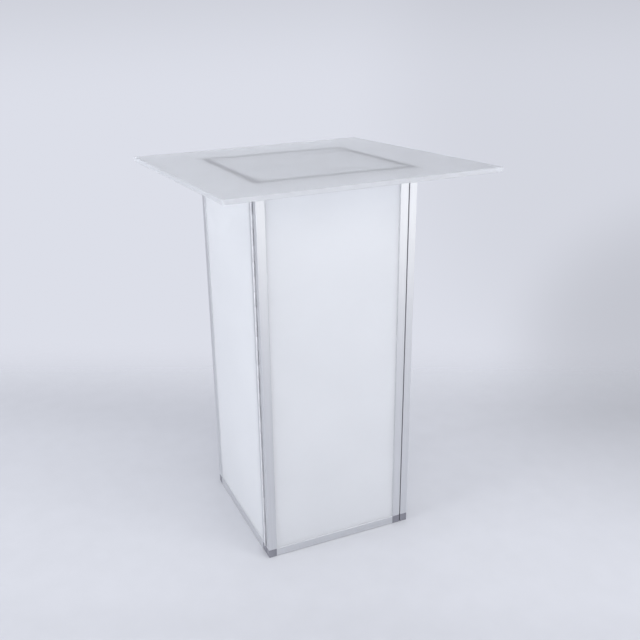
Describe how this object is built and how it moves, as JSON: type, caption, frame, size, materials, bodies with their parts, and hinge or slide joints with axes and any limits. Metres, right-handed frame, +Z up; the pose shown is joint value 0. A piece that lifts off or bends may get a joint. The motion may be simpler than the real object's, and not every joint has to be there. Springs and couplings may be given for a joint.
{
  "type": "folding column table with loose acrylic top",
  "caption": "Bar-height square column of hinged aluminium-framed opal acrylic panels that folds flat, under a loose frosted acrylic sheet top.",
  "frame": {"origin": "on the floor, under the middle of the square column", "axes": "+Z up; +X to the right along the front frame; the front frame faces -Y"},
  "size_m": [0.7884, 0.7884, 1.0927],
  "materials": {
    "satin_aluminium": "satin anodised aluminium, fine lengthwise die lines",
    "hinge_metal": "satin anodised aluminium hinge",
    "steel_pin": "drawn steel wire",
    "rivet_metal": "plain aluminium rivet",
    "grey_plastic": "dark grey moulded plastic, fine matt texture",
    "opal_acrylic": "white opal acrylic sheet, light passes but no image",
    "clear_gasket": "soft pale grey glazing gasket",
    "frosted_acrylic": "thick clear acrylic with satin faces and polished edges"
  },
  "bodies": {
    "front_frame": {"front_frame_left_stile": "satin_aluminium", "front_frame_right_stile": "satin_aluminium", "front_frame_top_rail": "satin_aluminium", "front_frame_bottom_rail": "satin_aluminium", "front_frame_panel": "opal_acrylic", "front_frame_gasket": "clear_gasket", "front_frame_top_left_connector": "grey_plastic", "front_frame_top_right_connector": "grey_plastic", "front_frame_bottom_left_connector": "grey_plastic", "front_frame_bottom_right_connector": "grey_plastic", "front_frame_hinge_rivets": "rivet_metal", "front_right_hinge_end_leaf": "hinge_metal", "front_right_hinge_pin": "steel_pin", "front_left_hinge_face_leaf": "hinge_metal"},
    "right_frame": {"right_frame_left_stile": "satin_aluminium", "right_frame_right_stile": "satin_aluminium", "right_frame_top_rail": "satin_aluminium", "right_frame_bottom_rail": "satin_aluminium", "right_frame_panel": "opal_acrylic", "right_frame_gasket": "clear_gasket", "right_frame_top_left_connector": "grey_plastic", "right_frame_top_right_connector": "grey_plastic", "right_frame_bottom_left_connector": "grey_plastic", "right_frame_bottom_right_connector": "grey_plastic", "right_frame_hinge_rivets": "rivet_metal", "rear_right_hinge_end_leaf": "hinge_metal", "rear_right_hinge_pin": "steel_pin", "front_right_hinge_face_leaf": "hinge_metal"},
    "rear_frame": {"rear_frame_left_stile": "satin_aluminium", "rear_frame_right_stile": "satin_aluminium", "rear_frame_top_rail": "satin_aluminium", "rear_frame_bottom_rail": "satin_aluminium", "rear_frame_panel": "opal_acrylic", "rear_frame_gasket": "clear_gasket", "rear_frame_top_left_connector": "grey_plastic", "rear_frame_top_right_connector": "grey_plastic", "rear_frame_bottom_left_connector": "grey_plastic", "rear_frame_bottom_right_connector": "grey_plastic", "rear_frame_hinge_rivets": "rivet_metal", "rear_left_hinge_end_leaf": "hinge_metal", "rear_left_hinge_pin": "steel_pin", "rear_right_hinge_face_leaf": "hinge_metal"},
    "left_frame": {"left_frame_left_stile": "satin_aluminium", "left_frame_right_stile": "satin_aluminium", "left_frame_top_rail": "satin_aluminium", "left_frame_bottom_rail": "satin_aluminium", "left_frame_panel": "opal_acrylic", "left_frame_gasket": "clear_gasket", "left_frame_top_left_connector": "grey_plastic", "left_frame_top_right_connector": "grey_plastic", "left_frame_bottom_left_connector": "grey_plastic", "left_frame_bottom_right_connector": "grey_plastic", "left_frame_hinge_rivets": "rivet_metal", "front_left_hinge_end_leaf": "hinge_metal", "front_left_hinge_pin": "steel_pin", "rear_left_hinge_face_leaf": "hinge_metal"},
    "tabletop": {"tabletop": "frosted_acrylic"}
  },
  "joints": [
    {"name": "left_frame_fold", "type": "hinge", "parent": "front_frame", "child": "left_frame", "pos_m": [-0.2309, -0.205, 0.54], "axis": [0, 0, 1], "range_deg": [0, 90]},
    {"name": "right_frame_fold", "type": "hinge", "parent": "front_frame", "child": "right_frame", "pos_m": [0.205, -0.2021, 0.54], "axis": [0, 0, 1], "range_deg": [0, 90]},
    {"name": "rear_frame_fold", "type": "hinge", "parent": "left_frame", "child": "rear_frame", "pos_m": [-0.205, 0.2021, 0.54], "axis": [0, 0, -1], "range_deg": [0, 90]},
    {"name": "tabletop_lift", "type": "slide", "parent": "front_frame", "child": "tabletop", "axis": [0, 0, 1], "range_m": [0, 0.15]}
  ],
  "couplings": [
    {"joint": "right_frame_fold", "follows": "left_frame_fold", "ratio": 1},
    {"joint": "rear_frame_fold", "follows": "left_frame_fold", "ratio": 1}
  ]
}
